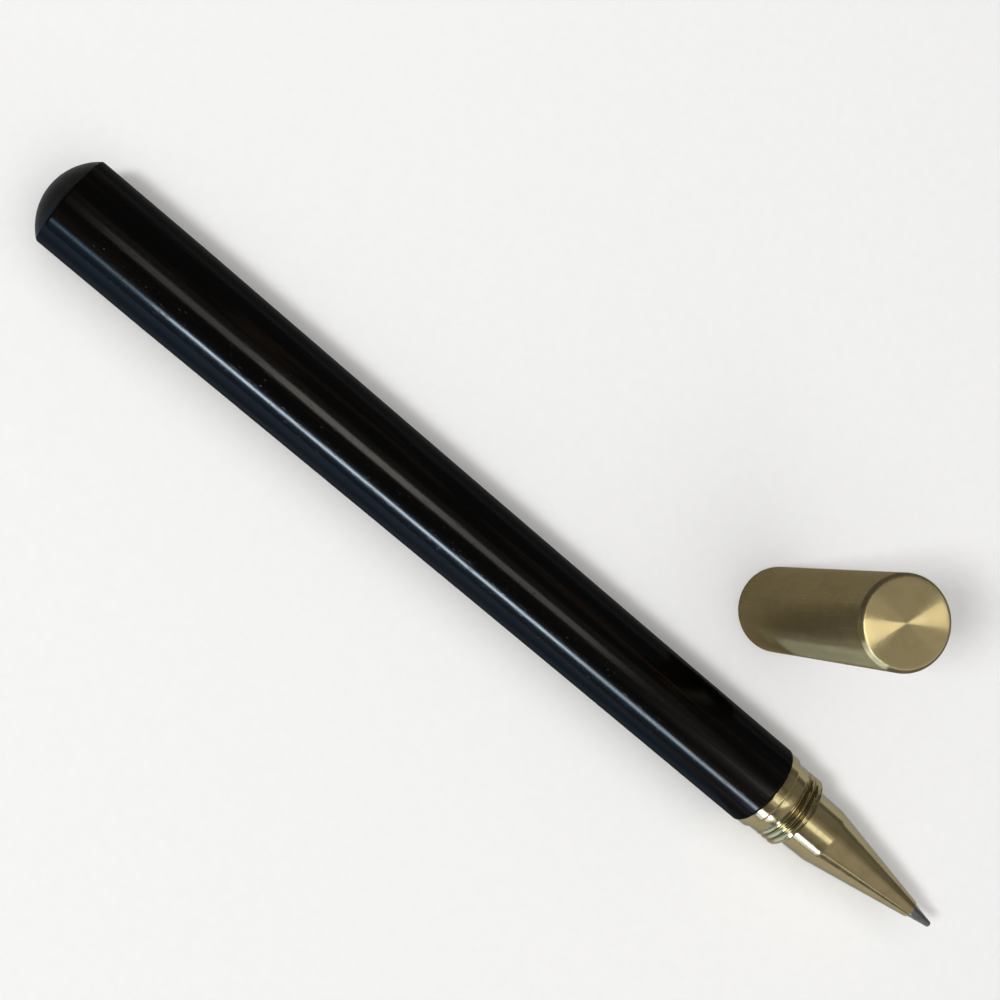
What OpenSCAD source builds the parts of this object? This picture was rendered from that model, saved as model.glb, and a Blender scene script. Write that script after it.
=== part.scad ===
// Wooden rollerball pen, lying on a table, with its screw cap standing beside it on its mouth.
// The pen's axis is X and its writing tip points to +X. The origin is on that axis, in the plane
// where the mouth of the cap seats on the collar's flange. Z is up.

/* [Barrel] */
// Length of the barrel from its rear rim to its front rim
barrel_len = 111; // [105:0.5:130]
// Diameter of the straight rear end
barrel_rear_d = 12.1; // [11.6:0.1:14]
// Length of the straight rear end
barrel_straight_len = 15; // [5:1:30]
// Diameter of the straight front end
barrel_front_d = 11.2; // [10.9:0.1:13]
// Length of the straight front end
barrel_grip_len = 6; // [2:1:20]
// Hollowness of the taper between the two straight ends, 1 for a plain cone
taper_power = 1.5; // [1:0.1:2.5]
// Height of the domed rear end
dome_h = 2.9; // [1:0.1:5]
// Bevel on the front rim
barrel_edge = 0.25; // [0.05:0.05:0.5]
// Wall of the brass tube that lines the bore
liner_wall = 0.35; // [0.2:0.05:0.5]

/* [Collar] */
// Diameter of the flange between wood and thread
flange_d = 10.9; // [10.6:0.1:12]
// Length of the flange
flange_len = 1.4; // [0.8:0.1:3]
// Bevel on the front edge of the flange
flange_bevel = 0.15; // [0.05:0.05:0.3]
// Diameter over the plain band and the cap thread's crests
collar_d = 10.2; // [9.4:0.1:10.6]
// Length of the plain band
band_len = 1.7; // [0.8:0.1:4]
// Length of the cap thread
thread_len = 2.7; // [1.5:0.1:6]
// Bevel at the front of the cap thread
thread_lead = 0.35; // [0.1:0.05:0.6]
// Length of the tail that is glued into the lined bore
collar_tail_len = 12; // [6:0.5:20]
// Wall of that tail
collar_tail_wall = 0.6; // [0.4:0.05:0.8]

/* [Nose cone] */
// Length of the nose that shows
nose_len = 20.2; // [18:0.1:24]
// Diameter behind the straight stretch
nose_rear_d = 8.2; // [8:0.1:9]
// Diameter ahead of the straight stretch, where the cone starts
nose_shoulder_d = 8; // [7.8:0.1:9]
// Length of the straight stretch
nose_straight_len = 4.6; // [2:0.1:6]
// Diameter of the front lip
nose_end_d = 2.4; // [2.3:0.05:3.5]
// Length of the threaded tail inside the collar
nose_tail_len = 4.4; // [3:0.1:4.6]
// Wall of the threaded tail
nose_tail_wall = 0.55; // [0.4:0.05:0.7]

/* [Refill] */
// Length of the whole refill
refill_len = 111; // [98:0.5:116]
// Diameter of the ink tube
refill_d = 6; // [5.6:0.1:6.2]
// Wall of the ink tube
refill_wall = 0.35; // [0.2:0.05:0.5]
// Distance from the ink tube's front face to the end of the ball
refill_front_len = 17.5; // [16:0.1:18.5]
// How far the tip stands out of the nose
tip_out = 3.6; // [2.5:0.1:4.5]
// Diameter of the tip holder inside the nose
holder_d = 3.6; // [3:0.1:3.8]
// Length of the tip holder ahead of the ink tube
holder_front_len = 7.2; // [6:0.1:8]
// Length of the tip holder inside the ink tube
holder_plug_len = 5; // [3:0.1:8]
// Diameter of the tip's shank
tip_d = 1.92; // [1.8:0.02:2]
// Length of the shank inside its holder
tip_hold_len = 4; // [2:0.1:5]
// Outer diameter of the lip that holds the ball
tip_lip_d = 0.78; // [0.74:0.02:1]
// Diameter of the writing ball
ball_d = 0.6; // [0.4:0.05:0.65]
// How far the lip reaches past the middle of the ball
ball_wrap = 0.08; // [0.04:0.01:0.12]
// Diameter of the ink channel behind the ball
ink_channel_d = 0.36; // [0.2:0.02:0.4]
// Length of the ink channel behind the ball's socket
ink_channel_len = 0.6; // [0.4:0.1:1]
// Diameter of the wick
wick_d = 0.9; // [0.6:0.05:0.95]
// How far the wick reaches into the ink reservoir
wick_soak_len = 10; // [4:0.5:30]
// Length of the rear plug inside the ink tube
plug_len = 4; // [2:0.5:8]
// Thickness of the rear plug's rim
plug_rim = 1.2; // [0.6:0.1:2]
// Diameter of the vent through the rear plug
vent_d = 0.8; // [0.4:0.1:1.5]

/* [Spring] */
// Length of the spring as fitted
spring_len = 15; // [12:0.5:15]
// Outer diameter of the spring
spring_d = 5.6; // [4.5:0.1:6.4]
// Diameter of the spring wire
spring_wire = 0.5; // [0.3:0.05:0.6]
// Pitch of the close turn at each end
spring_end_pitch = 1; // [1:0.05:1.2]
// Number of open turns
spring_turns = 7; // [5:1:8]

/* [Cap] */
// Length of the cap
cap_len = 38; // [36:0.5:45]
// Outer diameter of the cap
cap_d = 11.2; // [11:0.1:12.5]
// Bevel round the flat end
cap_bevel = 0.5; // [0.1:0.05:1]
// Bevel round the mouth
mouth_bevel = 0.15; // [0.05:0.05:0.2]
// Room between the tip of the pen and the end of the bore
cap_tip_room = 1.7; // [0.5:0.1:3]
// Room beyond the thread in the mouth
cap_mouth_room = 0.4; // [0.2:0.1:1]
// Angle of the drill point at the end of the bore
drill_angle = 118; // [90:1:140]
// Place of the standing cap along the pen, from the collar's seat
cap_x = -11.8; // [-60:0.1:20]
// Place of the standing cap beside the pen's axis
cap_y = 19.8; // [14:0.1:40]

/* [Fits] */
// Gap around a glued or pressed joint
glue_gap = 0.03; // [0.02:0.01:0.05]
// Gap around a screwed joint
screw_gap = 0.05; // [0.03:0.01:0.1]
// Gap around the refill
refill_gap = 0.1; // [0.05:0.01:0.15]
// Gap around the tip's shank in the nose
tip_gap = 0.06; // [0.03:0.01:0.1]
// Gap around the writing ball
ball_gap = 0.02; // [0.01:0.005:0.03]
// Gap around the collar in the cap's mouth
cap_gap = 0.1; // [0.05:0.01:0.15]
// Gap around the nose in the cap's bore
cap_nose_gap = 0.3; // [0.15:0.05:0.4]

/* [Hidden] */
round_fn = 96;
small_fn = 48;
wire_sides = 6;
rings_per_turn = 12;
taper_steps = 12;

// Stations along the pen
collar_front = band_len + thread_len;
barrel_front = -flange_len;
barrel_rear = barrel_front - barrel_len;
nose_front = collar_front + nose_len;
tip_end = nose_front + tip_out;
tube_front = tip_end - refill_front_len;
refill_rear = tip_end - refill_len;
holder_front = tube_front + holder_front_len;
bore_bottom = refill_rear - spring_len;
ball_at = tip_end - ball_d / 2;
tip_lip = ball_at + ball_wrap;
socket_r = ball_d / 2 + ball_gap;
channel_rear = ball_at - socket_r - ink_channel_len;
wick_rear = tube_front - holder_plug_len - wick_soak_len;
table_z = -barrel_rear_d / 2;

// Radii that follow from the refill outwards
refill_r = refill_d / 2;
passage_r = refill_r + refill_gap;
nose_tail_r = passage_r + nose_tail_wall;
nose_thread_r = nose_tail_r + screw_gap;
collar_tail_r = passage_r + collar_tail_wall;
liner_bore_r = collar_tail_r + glue_gap;
liner_r = liner_bore_r + liner_wall;
barrel_bore_r = liner_r + glue_gap;
ink_r = refill_r - refill_wall;
holder_room_r = holder_d / 2 + refill_gap;
tip_room_r = tip_d / 2 + tip_gap;
wick_room_r = wick_d / 2 + glue_gap;
dome_r = (pow(barrel_rear_d / 2, 2) + pow(dome_h, 2)) / (2 * dome_h);
taper_len = barrel_len - barrel_straight_len - barrel_grip_len;

// Radii and depths inside the cap
cap_mouth_r = collar_d / 2 + cap_gap;
cap_mouth_depth = collar_front + cap_mouth_room;
cap_bore_r = nose_rear_d / 2 + cap_nose_gap;
cap_bore_depth = tip_end + cap_tip_room;
drill_point = cap_bore_r / tan(drill_angle / 2);

// Outline of a turned shape from stations [place on the axis, radius], closed along the axis
function lathe(stations) = concat(
    [[0, stations[0][0]]],
    [for (s = stations) [s[1], s[0]]],
    [[0, stations[len(stations) - 1][0]]]
);

// Turns a flat outline, drawn with radius across and place upwards, about the pen's axis
module turned(fn = round_fn) {
    rotate([0, 90, 0]) rotate_extrude($fn = fn) children();
}

module solid_outline(stations) {
    polygon(lathe(stations));
}

// Unbroken wire along a list of points that run round the pen's axis
module wire(path, wire_d, sides) {
    last = len(path) - 1;
    points = [
        for (i = [0 : last])
            let (
                ahead = path[min(i + 1, last)] - path[max(i - 1, 0)],
                along = ahead / norm(ahead),
                out = [0, path[i][1], path[i][2]],
                side = out / norm(out),
                up = cross(along, side)
            )
            for (k = [0 : sides - 1])
                let (a = 360 * k / sides)
                path[i] + wire_d / 2 * (cos(a) * side + sin(a) * up)
    ];
    walls = [
        for (i = [0 : last - 1], k = [0 : sides - 1])
            let (
                a = i * sides + k,
                b = i * sides + (k + 1) % sides,
                c = a + sides,
                d = b + sides
            )
            each [[a, b, d], [a, d, c]]
    ];
    first_of_end = last * sides;
    start_face = [for (k = [1 : sides - 2]) [0, k + 1, k]];
    end_face = [
        for (k = [1 : sides - 2]) [first_of_end, first_of_end + k, first_of_end + k + 1]
    ];
    polyhedron(points, concat(walls, start_face, end_face));
}

// Place along a spring's axis after a number of turns, with one close turn at each end
function spring_place(turn, open_turns, end_pitch, open_pitch) =
    end_pitch * min(turn, 1)
    + open_pitch * max(0, min(turn - 1, open_turns))
    + end_pitch * max(0, turn - 1 - open_turns);

// Radius of the barrel at a share of its taper, which is hollow: steep at the rear, level at the grip
function taper_r(share) =
    (barrel_front_d + (barrel_rear_d - barrel_front_d) * pow(1 - share, taper_power)) / 2;

// Turned hardwood barrel with a domed end and a flat-bottomed bore
module barrel() {
    color([0.05, 0.045, 0.04]) turned() difference() {
        union() {
            solid_outline([
                [barrel_rear, barrel_rear_d / 2],
                for (i = [0 : taper_steps])
                    let (share = i / taper_steps)
                    [barrel_rear + barrel_straight_len + share * taper_len, taper_r(share)],
                [barrel_front - barrel_edge, barrel_front_d / 2],
                [barrel_front, barrel_front_d / 2 - barrel_edge]
            ]);
            intersection() {
                translate([0, barrel_rear - dome_h + dome_r]) circle(dome_r, $fn = round_fn);
                translate([0, barrel_rear - dome_h]) square([barrel_rear_d / 2, dome_h]);
            }
        }
        solid_outline([[bore_bottom, barrel_bore_r], [barrel_front, barrel_bore_r]]);
    }
}

// Thin brass tube glued into the barrel's bore
module barrel_liner() {
    color([0.72, 0.6, 0.3]) turned() difference() {
        solid_outline([[bore_bottom, liner_r], [barrel_front, liner_r]]);
        solid_outline([[bore_bottom, liner_bore_r], [barrel_front, liner_bore_r]]);
    }
}

// Brass collar: tail in the liner, flange on the wood, band and thread for the cap, bore for the nose
module threaded_collar() {
    nose_bore_bottom = collar_front - nose_tail_len - screw_gap;
    color([0.78, 0.66, 0.36]) turned() difference() {
        solid_outline([
            [barrel_front - collar_tail_len, collar_tail_r],
            [barrel_front, collar_tail_r],
            [barrel_front, flange_d / 2],
            [-flange_bevel, flange_d / 2],
            [0, flange_d / 2 - flange_bevel],
            [0, collar_d / 2],
            [collar_front - thread_lead, collar_d / 2],
            [collar_front, collar_d / 2 - thread_lead]
        ]);
        solid_outline([
            [barrel_front - collar_tail_len, passage_r],
            [nose_bore_bottom, passage_r],
            [nose_bore_bottom, nose_thread_r],
            [collar_front, nose_thread_r]
        ]);
    }
}

// Steel compression spring between the bottom of the bore and the refill
module refill_spring() {
    coil_r = (spring_d - spring_wire) / 2;
    travel = spring_len - spring_wire - 2 * glue_gap;
    open_pitch = (travel - 2 * spring_end_pitch) / spring_turns;
    turns = spring_turns + 2;
    steps = turns * rings_per_turn;
    first = bore_bottom + spring_wire / 2 + glue_gap;
    path = [
        for (i = [0 : steps])
            let (
                turn = i / rings_per_turn,
                a = 360 * turn,
                x = first + spring_place(turn, spring_turns, spring_end_pitch, open_pitch)
            )
            [x, coil_r * cos(a), coil_r * sin(a)]
    ];
    color([0.7, 0.7, 0.72]) wire(path, spring_wire, wire_sides);
}

// Brass nose that screws into the collar and carries the refill's shoulder
module nose_cone() {
    color([0.78, 0.66, 0.36]) turned() difference() {
        solid_outline([
            [collar_front - nose_tail_len, nose_tail_r],
            [collar_front, nose_tail_r],
            [collar_front, nose_rear_d / 2],
            [collar_front + nose_straight_len, nose_shoulder_d / 2],
            [nose_front, nose_end_d / 2]
        ]);
        solid_outline([
            [collar_front - nose_tail_len, passage_r],
            [tube_front, passage_r],
            [tube_front, holder_room_r],
            [holder_front + refill_gap, holder_room_r],
            [holder_front + refill_gap, tip_room_r],
            [nose_front, tip_room_r]
        ]);
    }
}

// Plastic tube of the refill
module refill_tube() {
    color([0.86, 0.87, 0.88]) turned() difference() {
        solid_outline([[refill_rear + plug_rim, refill_r], [tube_front, refill_r]]);
        solid_outline([[refill_rear + plug_rim, ink_r], [tube_front, ink_r]]);
    }
}

// Fibre rod that holds the ink, with a socket for the wick
module ink_reservoir() {
    reservoir_front = tube_front - holder_plug_len;
    color([0.08, 0.09, 0.16]) turned() difference() {
        solid_outline([
            [refill_rear + plug_rim + plug_len, ink_r - glue_gap],
            [reservoir_front, ink_r - glue_gap]
        ]);
        solid_outline([[wick_rear, wick_room_r], [reservoir_front, wick_room_r]]);
    }
}

// Fibre wick from the reservoir to the ink channel behind the ball
module feed_wick() {
    color([0.12, 0.13, 0.24])
        turned(small_fn) solid_outline([[wick_rear, wick_d / 2], [channel_rear, wick_d / 2]]);
}

// Plastic plug with a vent at the rear of the refill
module refill_plug() {
    color([0.2, 0.2, 0.22]) turned() difference() {
        solid_outline([
            [refill_rear, refill_r],
            [refill_rear + plug_rim, refill_r],
            [refill_rear + plug_rim, ink_r - glue_gap],
            [refill_rear + plug_rim + plug_len, ink_r - glue_gap]
        ]);
        solid_outline([
            [refill_rear, vent_d / 2],
            [refill_rear + plug_rim + plug_len, vent_d / 2]
        ]);
    }
}

// Plastic holder between the ink tube and the steel tip
module tip_holder() {
    holder_rear = tube_front - holder_plug_len;
    shank_rear = holder_front - tip_hold_len;
    color([0.9, 0.9, 0.9]) turned() difference() {
        solid_outline([
            [holder_rear, ink_r - glue_gap],
            [tube_front, ink_r - glue_gap],
            [tube_front, holder_d / 2],
            [holder_front, holder_d / 2]
        ]);
        solid_outline([
            [holder_rear, wick_room_r],
            [shank_rear, wick_room_r],
            [shank_rear, tip_d / 2 + glue_gap],
            [holder_front, tip_d / 2 + glue_gap]
        ]);
    }
}

// Steel tip with a socket that wraps past the middle of the ball
module writing_tip() {
    shank_rear = holder_front - tip_hold_len;
    color([0.6, 0.6, 0.6]) turned(small_fn) difference() {
        solid_outline([
            [shank_rear, tip_d / 2],
            [nose_front, tip_d / 2],
            [tip_lip, tip_lip_d / 2]
        ]);
        solid_outline([
            [shank_rear, wick_room_r],
            [channel_rear, wick_room_r],
            [channel_rear, ink_channel_d / 2],
            [ball_at, ink_channel_d / 2]
        ]);
        intersection() {
            translate([0, ball_at]) circle(socket_r, $fn = small_fn);
            translate([0, ball_at - socket_r]) square([socket_r, 2 * socket_r]);
        }
    }
}

// Hard ball that rolls the ink on
module tip_ball() {
    color([0.45, 0.45, 0.48]) translate([ball_at, 0, 0]) sphere(d = ball_d, $fn = small_fn);
}

// One turned brass cap with a flat closed end, a threaded mouth and a drilled bore
module cap() {
    color([0.78, 0.66, 0.36]) translate([cap_x, cap_y, table_z]) rotate_extrude($fn = round_fn)
        difference() {
            solid_outline([
                [0, cap_d / 2 - mouth_bevel],
                [mouth_bevel, cap_d / 2],
                [cap_len - cap_bevel, cap_d / 2],
                [cap_len, cap_d / 2 - cap_bevel]
            ]);
            solid_outline([
                [0, cap_mouth_r],
                [cap_mouth_depth, cap_mouth_r],
                [cap_mouth_depth, cap_bore_r],
                [cap_bore_depth, cap_bore_r],
                [cap_bore_depth + drill_point, 0]
            ]);
        }
}

barrel();
barrel_liner();
threaded_collar();
refill_spring();
nose_cone();
refill_tube();
ink_reservoir();
feed_wick();
refill_plug();
tip_holder();
writing_tip();
tip_ball();
cap();
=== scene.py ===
"""Looks of a turned wooden pen: polished black wood, brass collar and nose, steel tip, brass cap."""
import logging
import math
from dataclasses import dataclass, fields
from enum import Enum
from typing import Optional, Sequence

import bmesh
import bpy
from mathutils import Matrix, Quaternion, Vector
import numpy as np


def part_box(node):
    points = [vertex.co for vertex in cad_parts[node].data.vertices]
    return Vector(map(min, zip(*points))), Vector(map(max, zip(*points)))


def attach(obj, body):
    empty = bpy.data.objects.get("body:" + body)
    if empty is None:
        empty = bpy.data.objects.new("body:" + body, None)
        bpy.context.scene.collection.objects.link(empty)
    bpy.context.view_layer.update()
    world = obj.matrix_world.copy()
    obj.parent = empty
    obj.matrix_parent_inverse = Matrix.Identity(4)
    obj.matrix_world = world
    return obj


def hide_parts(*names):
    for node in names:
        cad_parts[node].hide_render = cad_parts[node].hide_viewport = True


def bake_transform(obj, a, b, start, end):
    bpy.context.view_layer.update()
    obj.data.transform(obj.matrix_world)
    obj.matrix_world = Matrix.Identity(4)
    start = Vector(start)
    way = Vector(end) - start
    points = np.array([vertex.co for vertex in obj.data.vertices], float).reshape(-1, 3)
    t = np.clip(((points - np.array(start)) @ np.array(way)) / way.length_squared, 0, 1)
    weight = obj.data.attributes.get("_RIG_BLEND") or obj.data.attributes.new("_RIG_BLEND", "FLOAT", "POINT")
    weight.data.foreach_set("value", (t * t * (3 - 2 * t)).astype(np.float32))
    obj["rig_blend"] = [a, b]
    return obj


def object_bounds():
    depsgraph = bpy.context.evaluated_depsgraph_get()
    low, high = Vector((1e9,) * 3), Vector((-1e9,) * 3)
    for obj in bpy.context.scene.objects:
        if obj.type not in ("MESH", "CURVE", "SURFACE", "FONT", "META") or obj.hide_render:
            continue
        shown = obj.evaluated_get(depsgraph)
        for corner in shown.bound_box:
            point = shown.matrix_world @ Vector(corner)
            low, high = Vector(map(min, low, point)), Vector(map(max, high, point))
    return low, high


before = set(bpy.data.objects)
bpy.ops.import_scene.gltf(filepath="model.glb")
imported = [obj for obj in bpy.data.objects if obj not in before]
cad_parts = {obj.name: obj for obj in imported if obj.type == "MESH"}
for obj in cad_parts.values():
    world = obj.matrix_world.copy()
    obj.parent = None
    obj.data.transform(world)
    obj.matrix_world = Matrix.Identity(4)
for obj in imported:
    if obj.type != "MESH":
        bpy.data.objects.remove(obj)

CAD_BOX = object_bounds()
MM = 0.001
FULL_TURN = 2 * math.pi
QUARTER_TURN = math.pi / 2
ROUND_STEPS = 160
ROUNDING_STEPS = 4
SHARP_ANGLE = math.radians(28)
ROUND_ANGLE = math.radians(0.4)
KEEPER = 0.15 * MM
KEEPER_ROOM = 3 * KEEPER
WELD = 1e-8
ON_AXIS = 1e-7
ON_WALL = 1e-6
TURNED_UV = "turned"
GROOVE = "groove"
RUN = "run"

BMesh = bmesh.types.BMesh
Material = bpy.types.Material
Socket = bpy.types.NodeSocket
Colour = tuple[float, float, float]
Place = tuple[float, float, float]
Span = tuple[float, float]

NOISE_ROUGHNESS = 0.6
NOISE_MIDDLE: Span = (0.3, 0.7)
ACROSS_LINES = 0.25
WHITE: Colour = (1.0, 1.0, 1.0)
WINDOW_BLUE: Colour = (0.72, 0.87, 1.0)
CEILING_WARM: Colour = (1.0, 0.97, 0.88)
NOSE_WARM: Colour = (1.0, 0.97, 0.86)

log = logging.getLogger("pen")


class Axis(Enum):
    """Line that a turned piece is turned about."""

    PEN = "pen"
    CAP = "cap"

    def place(self) -> Matrix:
        """Finds where a mesh that was turned about Z belongs.

        Returns:
            The matrix that carries the mesh there.
        """
        if self is Axis.PEN:
            return Matrix.Rotation(QUARTER_TURN, 4, "Y")
        low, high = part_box("cap")
        return Matrix.Translation(((low.x + high.x) / 2, (low.y + high.y) / 2, low.z))


class Coordinates(Enum):
    """Coordinates that a noise is laid on: the piece's own space or the map round it."""

    OBJECT = "Object"
    TURNED = "UV"


class Sum(Enum):
    """Ways to join two values."""

    ADD = "ADD"
    SUBTRACT = "SUBTRACT"
    MULTIPLY = "MULTIPLY"


class Reach(Enum):
    """What a lamp lights: only soft light on surfaces, or only their gloss."""

    SOFT = "soft"
    GLOSS = "gloss"


class Target(Enum):
    """Pieces that a lamp falls on."""

    ALL = "all"
    PEN = "pen"
    CAP = "cap"


class CapFace(Enum):
    """Material slots of the cap."""

    SIDE = 0
    END = 1
    INSIDE = 2


@dataclass(frozen=True)
class Station:
    """One corner of a turned outline, in metres.

    Attributes:
        along: Place on the turning axis.
        radius: Distance from that axis.
        fillet: Size of the rounding at the corner, 0 for a crisp one.
        cuts: Extra rings between this corner and the next.
    """

    along: float
    radius: float
    fillet: float = 0.0
    cuts: int = 0


@dataclass(frozen=True)
class Thread:
    """A helical thread between two places on a turned wall, in metres.

    Attributes:
        start: Where the thread begins on the axis.
        end: Where it ends.
        wall: Radius of the wall that carries it.
        depth: How far the wall is moved inwards at most.
        pitch: Lead of one turn.
        run_out: Length over which the thread fades at each end.
    """

    start: float
    end: float
    wall: float
    depth: float
    pitch: float
    run_out: float

    def share(self, along: float, angle: float) -> float:
        """How far the wall is moved inwards at a place, from 0 to 1.

        Args:
            along: Place on the axis.
            angle: Angle round the axis, in radians.

        Returns:
            The share of the full depth there.
        """
        phase = (along - self.start) / self.pitch - angle / FULL_TURN
        smooth = 0.5 - 0.5 * math.cos(FULL_TURN * phase)
        fade = min((along - self.start) / self.run_out, (self.end - along) / self.run_out, 1.0)
        fade = max(fade, 0.0)
        return smooth * fade * fade * (3 - 2 * fade)


def arc(centre: float, radius: float, begin: float, end: float, steps: int) -> list[Station]:
    """Stations along a round stretch of an outline.

    Args:
        centre: Middle of the arc, on the turning axis.
        radius: Radius of the arc.
        begin: First angle from the axis direction, in radians.
        end: Last angle.
        steps: Number of straight steps in it.

    Returns:
        The stations, both ends included.
    """
    stations = []
    for i in range(steps + 1):
        angle = begin + (end - begin) * i / steps
        stations.append(Station(centre + radius * math.cos(angle), max(radius * math.sin(angle), 0.0)))
    return stations


class Lathe:
    """Turns outlines into meshes with bmesh operators, and lays a map round them."""

    def __init__(self, steps: int = ROUND_STEPS) -> None:
        """Sets how many steps a full turn has."""
        self.steps = steps

    def turn(self, outline: Sequence[Station], closed: bool,
             threads: Sequence[Thread] = ()) -> BMesh:
        """Turns an outline about the Z axis.

        Args:
            outline: Corners of the outline, from one end to the other.
            closed: True where the last corner joins the first, as on a tube.
            threads: Threads to cut into the turned walls.

        Returns:
            A closed mesh with its map and the depths of its threads.
        """
        mesh = self.draw(outline, closed)
        self.keep(mesh)
        total = self.measure(mesh, closed)
        bmesh.ops.spin(
            mesh, geom=mesh.verts[:] + mesh.edges[:], cent=(0, 0, 0), axis=(0, 0, 1),
            angle=FULL_TURN, steps=self.steps, use_merge=True,
        )
        bmesh.ops.remove_doubles(mesh, verts=mesh.verts, dist=WELD)
        bmesh.ops.recalc_face_normals(mesh, faces=mesh.faces)
        self.lay_map(mesh, total)
        for thread in threads:
            self.cut(mesh, thread)
        self.shade(mesh)
        return mesh

    def draw(self, outline: Sequence[Station], closed: bool) -> BMesh:
        """Draws an outline with its extra rings and its rounded corners.

        Args:
            outline: Corners of the outline.
            closed: True where the last corner joins the first.

        Returns:
            A mesh that holds only the outline.
        """
        mesh = bmesh.new()
        mesh.verts.layers.float.new(RUN)
        mesh.verts.layers.float.new(GROOVE)
        corners = [mesh.verts.new((s.radius, 0.0, s.along)) for s in outline]
        pairs = list(zip(corners, corners[1:]))
        if closed:
            pairs.append((corners[-1], corners[0]))
        for pair in pairs:
            mesh.edges.new(pair)
        for index, station in enumerate(outline):
            if station.cuts:
                mesh.verts.ensure_lookup_table()
                edge = mesh.edges.get((mesh.verts[index], mesh.verts[index + 1]))
                bmesh.ops.subdivide_edges(mesh, edges=[edge], cuts=station.cuts)
        for station, corner in zip(outline, mesh.verts[:]):
            if station.fillet:
                bmesh.ops.bevel(
                    mesh, geom=[corner], offset=station.fillet, offset_type="OFFSET",
                    segments=ROUNDING_STEPS, profile=0.5, affect="VERTICES", material=-1,
                )
        return mesh

    def keep(self, mesh: BMesh) -> None:
        """Adds a point close to each rounded corner, so that its shading stays at the corner.

        Args:
            mesh: Mesh that holds only the outline.
        """
        joints = [v for v in mesh.verts if len(v.link_edges) == 2]
        for vert in [v for v in joints if ROUND_ANGLE < v.calc_edge_angle(0.0) < SHARP_ANGLE]:
            for edge in list(vert.link_edges):
                length = edge.calc_length()
                if length > KEEPER_ROOM:
                    bmesh.utils.edge_split(edge, vert, KEEPER / length)

    def measure(self, mesh: BMesh, closed: bool) -> float:
        """Writes each outline point's distance along the outline.

        Args:
            mesh: Mesh that holds only the outline.
            closed: True for an outline with no ends.

        Returns:
            Length of the whole outline.
        """
        run = mesh.verts.layers.float[RUN]
        mesh.verts.ensure_lookup_table()
        ends = [v for v in mesh.verts if len(v.link_edges) == 1]
        first = mesh.verts[0] if closed else min(ends, key=lambda v: v.index)
        here = first
        used = None
        length = 0.0
        while True:
            here[run] = length
            ahead = [e for e in here.link_edges if e is not used]
            if not ahead:
                return length
            used = ahead[0]
            length += used.calc_length()
            here = used.other_vert(here)
            if here is first:
                return length

    def lay_map(self, mesh: BMesh, total: float) -> None:
        """Lays a map: the turn across, and the distance along the outline upwards, in millimetres.

        Args:
            mesh: The turned mesh.
            total: Length of its outline.
        """
        run = mesh.verts.layers.float[RUN]
        uv = mesh.loops.layers.uv.new(TURNED_UV)
        for face in mesh.faces:
            middle = face.calc_center_median()
            facing = math.atan2(middle.y, middle.x)
            longest = max(v[run] for v in face.verts)
            for loop in face.loops:
                place = loop.vert.co
                angle = math.atan2(place.y, place.x) if place.xy.length > ON_AXIS else facing
                turned = facing + (angle - facing + math.pi) % FULL_TURN - math.pi
                length = loop.vert[run]
                if longest - length > total / 2:
                    length += total
                loop[uv].uv = (turned / FULL_TURN, length / MM)

    def cut(self, mesh: BMesh, thread: Thread) -> None:
        """Moves a wall's points inwards along a helix.

        Args:
            mesh: The turned mesh.
            thread: The thread to cut.
        """
        groove = mesh.verts.layers.float[GROOVE]
        for vert in mesh.verts:
            radius = vert.co.xy.length
            if abs(radius - thread.wall) > ON_WALL or not thread.start < vert.co.z < thread.end:
                continue
            share = thread.share(vert.co.z, math.atan2(vert.co.y, vert.co.x))
            vert[groove] = share
            vert.co.xy *= (radius - thread.depth * share) / radius

    def shade(self, mesh: BMesh) -> None:
        """Shades the faces smoothly, apart from crisp edges.

        Args:
            mesh: The finished mesh.
        """
        for face in mesh.faces:
            face.smooth = True
        for edge in mesh.edges:
            edge.smooth = len(edge.link_faces) != 2 or edge.calc_face_angle() < SHARP_ANGLE


def rgba(colour: object) -> object:
    """Adds an alpha of 1 to a plain colour and leaves a socket as it is."""
    return (*colour, 1.0) if isinstance(colour, tuple) else colour


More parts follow.
